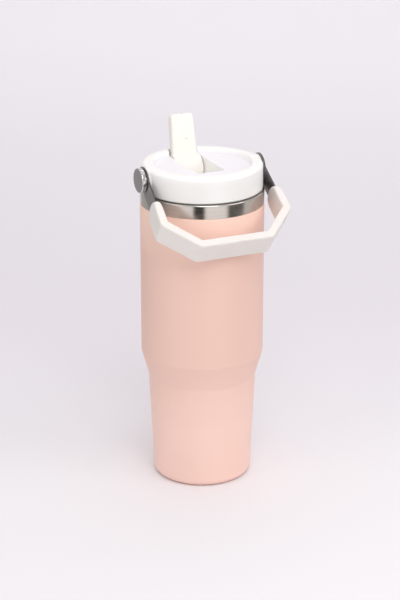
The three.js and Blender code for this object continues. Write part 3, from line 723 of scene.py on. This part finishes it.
def bent_strap():
    """A flat blank with an eye at each end, bent along the handle's path."""
    path = np.array(strap_path)
    seg = np.linalg.norm(np.diff(path, axis=0), axis=1)
    cum = np.concatenate([[0], np.cumsum(seg)])
    total = cum[-1]
    cu = bpy.data.curves.new("strap_blank", "CURVE")
    cu.dimensions = "2D"
    cu.fill_mode = "BOTH"
    cu.extrude = STRAP_T / 2 - 0.15 - 0.22
    cu.bevel_depth = 0.22
    cu.bevel_resolution = 2
    cu.offset = -0.22
    w, R = STRAP_W / 2, EYE_R
    nf = 2.6

    def eye(cx, sign):
        # neck fillet tangent to the eye and to the straight edge
        yc = w + nf
        xc = math.sqrt((R + nf) ** 2 - yc ** 2)
        aj = math.atan2(yc, xc)                      # direction of the fillet's centre from the eye's centre
        f0 = -math.pi / 2
        f1 = aj + math.pi
        f1 = f1 - 2 * math.pi if f1 > 0 else f1
        fil = [(xc + nf * math.cos(f0 + (f1 - f0) * i / 6), yc + nf * math.sin(f0 + (f1 - f0) * i / 6)) for i in range(7)]
        arc_ = [(R * math.cos(aj + (2 * math.pi - 2 * aj) * i / 56), R * math.sin(aj + (2 * math.pi - 2 * aj) * i / 56)) for i in range(57)]
        low = [(x, -y) for x, y in reversed(fil)]
        loop = fil[:-1] + arc_ + low[1:]
        return [(cx + sign * x, y) for x, y in loop]

    a = eye(0.0, 1)
    b = eye(total, -1)
    # both loops run from +h to -h; the second is reversed so that the outline closes
    outline = a + b[::-1]
    area = 0.5 * sum(p[0] * q[1] - q[0] * p[1] for p, q in zip(outline, outline[1:] + outline[:1]))
    if area < 0:
        outline = outline[::-1]
    sp = cu.splines.new("POLY")
    sp.points.add(len(outline) - 1)
    for p, (x, y) in zip(sp.points, outline):
        p.co = (x, y, 0, 1)
    sp.use_cyclic_u = True
    for cx in (0.0, total):
        hole = cu.splines.new("POLY")
        hole.points.add(47)
        for i, p in enumerate(hole.points):
            t = -2 * math.pi * i / 48
            p.co = (cx + (BUSH_R + 0.05) * math.cos(t), (BUSH_R + 0.05) * math.sin(t), 0, 1)
        hole.use_cyclic_u = True
    tmp = bpy.data.objects.new("strap_blank", cu)
    COL.objects.link(tmp)
    bpy.context.view_layer.update()
    me = bpy.data.meshes.new_from_object(tmp.evaluated_get(bpy.context.evaluated_depsgraph_get()))
    bpy.data.objects.remove(tmp)
    bpy.data.curves.remove(cu)
    bm = bmesh.new()
    bm.from_mesh(me)
    bmesh.ops.remove_doubles(bm, verts=bm.verts, dist=1e-4)
    cuts = [c for c in cum[1:-1]] + [10.5 + 4 * i for i in range(6)] + [total - 10.5 - 4 * i for i in range(6)]
    for c in sorted(cuts):
        bmesh.ops.bisect_plane(bm, geom=bm.verts[:] + bm.edges[:] + bm.faces[:], plane_co=(c, 0, 0), plane_no=(1, 0, 0), dist=1e-4)
    for v in bm.verts:
        s, h, nn = v.co
        k = int(np.clip(np.searchsorted(cum, s) - 1, 0, len(seg) - 1))
        t = (s - cum[k]) / seg[k]
        p = path[k] + (path[k + 1] - path[k]) * t
        # smooth direction: mean of the two neighbours near a joint
        d = (path[k + 1] - path[k]) / seg[k]
        nrm = np.array([d[1], -d[0]])
        if abs(s - cum[k]) < 1e-3 and k > 0:
            d0 = (path[k] - path[k - 1]) / seg[k - 1]
            m = np.array([d0[1], -d0[0]]) + nrm
            nrm = m / (m @ m) * 2
        elif abs(s - cum[k + 1]) < 1e-3 and k < len(seg) - 1:
            d1 = (path[k + 2] - path[k + 1]) / seg[k + 1]
            m = np.array([d1[1], -d1[0]]) + nrm
            nrm = m / (m @ m) * 2
        q = p + nrm * nn
        w3 = HANDLE_R @ np.array([q[0], q[1], h]) + HANDLE_T
        v.co = Vector(w3 * MM)
    bmesh.ops.recalc_face_normals(bm, faces=bm.faces)
    if bm.calc_volume(signed=True) < 0:
        bmesh.ops.reverse_faces(bm, faces=bm.faces)
    out = bpy.data.meshes.new("handle_steel_strap")
    bm.to_mesh(out)
    bm.free()
    bpy.data.meshes.remove(me)
    return smooth_by_angle(new_object("handle_steel_strap", out), 30)


strap = bent_strap()
dress(strap, STRAP, "brushed_steel", "handle", "handle_strap")

# ------------------------------------------------------------------ spout
SU = np.array([math.sin(LEAN), math.cos(LEAN)])
SV = np.array([math.cos(LEAN), -math.sin(LEAN)])


def spout_f(x, y, z):
    dy, dz = y - HUB_Y, z - HUB_Z
    s = dy * SU[0] + dz * SU[1]
    t = dy * SV[0] + dz * SV[1]
    rad = np.hypot(dy, dz)
    hub = smax(rad - HUB_R, np.abs(x) - 10.1, 0.8)
    half = 9.3 - (s - 10.7) * (9.3 - 8.45) / (SPOUT_LEN - 10.7)
    tc, th = (SP_FRONT + SP_BACK) / 2, (SP_BACK - SP_FRONT) / 2
    r = 1.6
    qx, qt = np.abs(x) - (half - r), np.abs(t - tc) - (th - r)
    sec = np.hypot(np.maximum(qx, 0), np.maximum(qt, 0)) + np.minimum(np.maximum(qx, qt), 0) - r
    tip = s - SPOUT_LEN + 0.045 * np.maximum(t - SP_FRONT, 0) ** 1.6 * 0.35
    blade = smax(smax(sec, tip, 3.0), -s - 2.0, 0.5)
    d = smin(hub, blade, 1.3)
    d = np.minimum(d, np.maximum(rad - 3.0, np.abs(x) - 12.2))
    # drinking channel with a flared mouth
    flare = np.maximum(s - (SPOUT_LEN - 3.0), 0) * 0.07
    ch = np.hypot(x, t - tc) - (2.3 + flare)
    ch = np.maximum(ch, -s)
    ky, kz = HUB_Y + SU[0] * 0.5 + SV[0] * tc, HUB_Z + SU[1] * 0.5 + SV[1] * tc
    ay, az = 25.4, 210.0
    ey, ez = ky - ay, kz - az
    L = math.hypot(ey, ez)
    k = np.clip(((y - ay) * ey + (z - az) * ez) / (L * L), 0, 1)
    low = np.sqrt(x * x + (y - ay - ey * k) ** 2 + (z - az - ez * k) ** 2) - 2.3
    d = smax(d, -np.minimum(ch, low), 0.7)
    # small vent dimple on the front face
    py, pz = HUB_Y + SU[0] * 20.3 + SV[0] * SP_FRONT, HUB_Z + SU[1] * 20.3 + SV[1] * SP_FRONT
    dim = np.sqrt((x - 1.4) ** 2 + (y - py) ** 2 + (z - pz) ** 2) - 0.95
    return smax(d, -dim, 0.5)


spout = surface("spout_shell", spout_f, (-13.2, 17.5, 212.5), (13.2, 45.0, 263.8), 0.42)
dress(spout, SPOUT, "spout_plastic", "spout", "spout")

# ------------------------------------------------------------------ CAD pieces that stay
for name, mat in {
    "vacuum_bottom": SHEET, "getter_disc": SHEET, "vacuum_seal": GLASS, "vent_valve": SILICONE, "spout_seal": SILICONE,
    "straw_adapter": PLUG, "pivot_bush_right": ACETAL, "pivot_bush_left": ACETAL,
    "threaded_insert_right": BRASS, "threaded_insert_left": BRASS,
}.items():
    ob = nodes[name]
    ob.data.materials.clear()
    ob.data.materials.append(mat)

# ------------------------------------------------------------------ camera
AZ, PITCH, DIST, HEIGHT, SIDE = math.radians(24.0), math.radians(20.44), 1.261, 0.602, 0.0015
right = Vector((math.cos(AZ), -math.sin(AZ), 0))
back = Vector((-math.sin(AZ), -math.cos(AZ), 0))
cam_data = bpy.data.cameras.new("camera")
cam_data.sensor_width = 36.0
cam_data.lens = 1869.0 / 600.0 * 36.0
cam_data.clip_start, cam_data.clip_end = 0.05, 20.0
cam = bpy.data.objects.new("camera", cam_data)
COL.objects.link(cam)
look = -back * math.cos(PITCH) + Vector((0, 0, -math.sin(PITCH)))
cam.location = back * DIST - right * SIDE + Vector((0, 0, HEIGHT))
cam.rotation_euler = look.to_track_quat("-Z", "Y").to_euler()
bpy.context.scene.camera = cam

# ------------------------------------------------------------------ floor, backdrop, light
def floor_mesh():
    """A pale sweep: flat under the object, rising softly a good way behind it."""
    bm = bmesh.new()
    prof = [(-0.29, 0.0), (-0.2, 0.0), (-0.1, 0.0), (0.0, 0.0), (0.07, 0.0), (0.16, 0.0), (0.3, 0.0), (0.5, 0.0), (0.9, 0.0)]
    half = [0.13, 0.19, 0.215, 0.23, 0.27, 0.5, 1.2, 2.2] + [2.6] * 15
    left = [0.13, 0.18, 0.19, 0.20, 0.21, 0.22, 0.26, 0.31] + [0.4] + [0.6] * 14
    for i in range(1, 13):
        a = math.radians(90 * i / 12)
        prof.append((0.9 + 0.9 * math.sin(a), 0.9 - 0.9 * math.cos(a)))
    prof.append((1.8, 2.6))
    rows = []
    for (d, z), lw, hw in zip(prof, left, half):
        rows.append([bm.verts.new(tuple(-back * d + right * w + Vector((0, 0, z)))) for w in (-lw, hw)])
    for a, b in zip(rows, rows[1:]):
        bm.faces.new((a[0], a[1], b[1], b[0]))
    bmesh.ops.recalc_face_normals(bm, faces=bm.faces)
    me = bpy.data.meshes.new("sweep")
    bm.to_mesh(me)
    bm.free()
    for p in me.polygons:
        p.use_smooth = True
    return me


sweep = new_object("sweep", floor_mesh())
fm = Mat("sweep_paper", 0.75, 0.0)
fm.b.inputs["Specular IOR Level"].default_value = 0.25
sx = fm.xyz()
depth = fm.math("ADD", fm.math("MULTIPLY", sx[0], -back[0]), fm.math("MULTIPLY", sx[1], -back[1]))
# painted light falloff on the sweep: the paper's colour is a little darker and more lavender behind the object and
# brighter far back
PAPER_NEAR, PAPER_MID, PAPER_FAR_PAINTED_LIGHT = srgb(240, 238, 242), srgb(237, 232, 239), srgb(252, 249, 255)
near = fm.mix(fm.remap(depth, -0.02, 0.30, 0.0, 1.0), PAPER_NEAR, PAPER_MID)
painted_light_ramp = fm.mix(fm.remap(depth, 0.42, 1.2, 0.0, 1.0), near, PAPER_FAR_PAINTED_LIGHT)
fm.link(painted_light_ramp, fm.b.inputs["Base Color"])
sweep.data.materials.append(fm.m)


def world_light(strength, floor_tone, glow, bars):
    """Pale studio all round, with soft dark flags in front that the steel mirrors."""
    world = bpy.data.worlds.new("world")
    bpy.context.scene.world = world
    world.use_nodes = True
    t = world.node_tree
    t.nodes.clear()
    out = t.nodes.new("ShaderNodeOutputWorld")
    bg = t.nodes.new("ShaderNodeBackground")
    bg.inputs["Strength"].default_value = strength
    t.links.new(bg.outputs[0], out.inputs[0])
    tc = t.nodes.new("ShaderNodeTexCoord")

    def m(op, a, b=0.0):
        nd = t.nodes.new("ShaderNodeMath")
        nd.operation = op
        for i, v in enumerate((a, b)):
            if isinstance(v, (int, float)):
                nd.inputs[i].default_value = v
            else:
                t.links.new(v, nd.inputs[i])
        return nd.outputs[0]

    def ramp(v, a0, a1, b0=0.0, b1=1.0):
        nd = t.nodes.new("ShaderNodeMapRange")
        nd.interpolation_type = "SMOOTHSTEP"
        for k, x in zip(("From Min", "From Max", "To Min", "To Max"), (a0, a1, b0, b1)):
            nd.inputs[k].default_value = x
        t.links.new(v, nd.inputs["Value"])
        return nd.outputs[0]

    sep = t.nodes.new("ShaderNodeSeparateXYZ")
    t.links.new(tc.outputs["Generated"], sep.inputs[0])
    x, y, z = sep.outputs
    dr = m("ADD", m("MULTIPLY", x, right[0]), m("MULTIPLY", y, right[1]))
    db = m("ADD", m("MULTIPLY", x, back[0]), m("MULTIPLY", y, back[1]))
    az = m("MULTIPLY", m("ARCTAN2", dr, db), 180 / math.pi)
    mask = None
    for a0, a1, z0, z1, soft, depth_ in bars:
        p = m("MULTIPLY", ramp(az, a0 - soft, a0 + soft), ramp(az, a1 - soft, a1 + soft, 1.0, 0.0))
        p = m("MULTIPLY", p, m("MULTIPLY", ramp(z, z0 - 0.06, z0 + 0.06), ramp(z, z1 - 0.06, z1 + 0.06, 1.0, 0.0)))
        p = m("MULTIPLY", p, depth_)
        mask = p if mask is None else m("MAXIMUM", mask, p)
    strip = m("MULTIPLY", ramp(az, -75, -45), ramp(az, 52, 100, 1.0, 0.0))
    strip = m("MULTIPLY", strip, ramp(z, 0.0, 0.35, 1.0, 0.0))
    level = m("ADD", ramp(z, -0.5, 0.1, floor_tone, 1.0), m("MULTIPLY", strip, glow))
    level = m("MULTIPLY", m("SUBTRACT", 1.0, mask), level)
    comb = t.nodes.new("ShaderNodeCombineXYZ")
    for i, c in enumerate((1.0, 0.985, 0.975)):
        t.links.new(m("MULTIPLY", level, c), comb.inputs[i])
    t.links.new(comb.outputs[0], bg.inputs["Color"])


# azimuth from the camera's side to its right in degrees, then the height range of the direction's z
world_light(0.61, 0.95, 0.80, [(-16, 5, -0.97, 0.16, 3, 1.0), (48, 83, -0.97, 0.2, 4, 1.0), (-179, -112, -0.97, 0.1, 6, 0.2)])


def area(name, loc, target, size, power, colour=(1, 1, 1), size_y=None):
    ld = bpy.data.lights.new(name, "AREA")
    ld.shape = "RECTANGLE"
    ld.size, ld.size_y = size, size_y or size
    ld.energy = power
    ld.color = colour
    ob = bpy.data.objects.new(name, ld)
    COL.objects.link(ob)
    ob.location = loc
    ob.rotation_euler = (Vector(target) - Vector(loc)).to_track_quat("-Z", "Y").to_euler()
    return ob


mid = Vector((0, 0, 0.13))
area("key_soft", tuple(back * 0.60 + right * 0.12 + Vector((0, 0, 0.88))), Vector((0, 0, 0.2)), 0.5, 3.1)
area("top_soft", tuple(back * -0.3 + Vector((0, 0, 1.7))), mid, 1.6, 2.8)
area("right_soft", tuple(back * 0.6 + right * 1.3 + Vector((0, 0, 0.6))), mid, 0.8, 4.8, (1, 0.985, 0.97))
area("left_soft", tuple(back * 0.9 - right * 1.1 + Vector((0, 0, 0.7))), mid, 0.8, 1.8, (1, 0.985, 0.97))
area("back_wash", tuple(back * -0.9 + Vector((0, 0, 1.5))), tuple(back * -1.9 + Vector((0, 0, 0.3))), 1.2, 2.2)

bpy.context.scene.view_settings.view_transform = "Standard"
bpy.context.scene.view_settings.look = "None"
bpy.context.scene.view_settings.exposure = 0.0

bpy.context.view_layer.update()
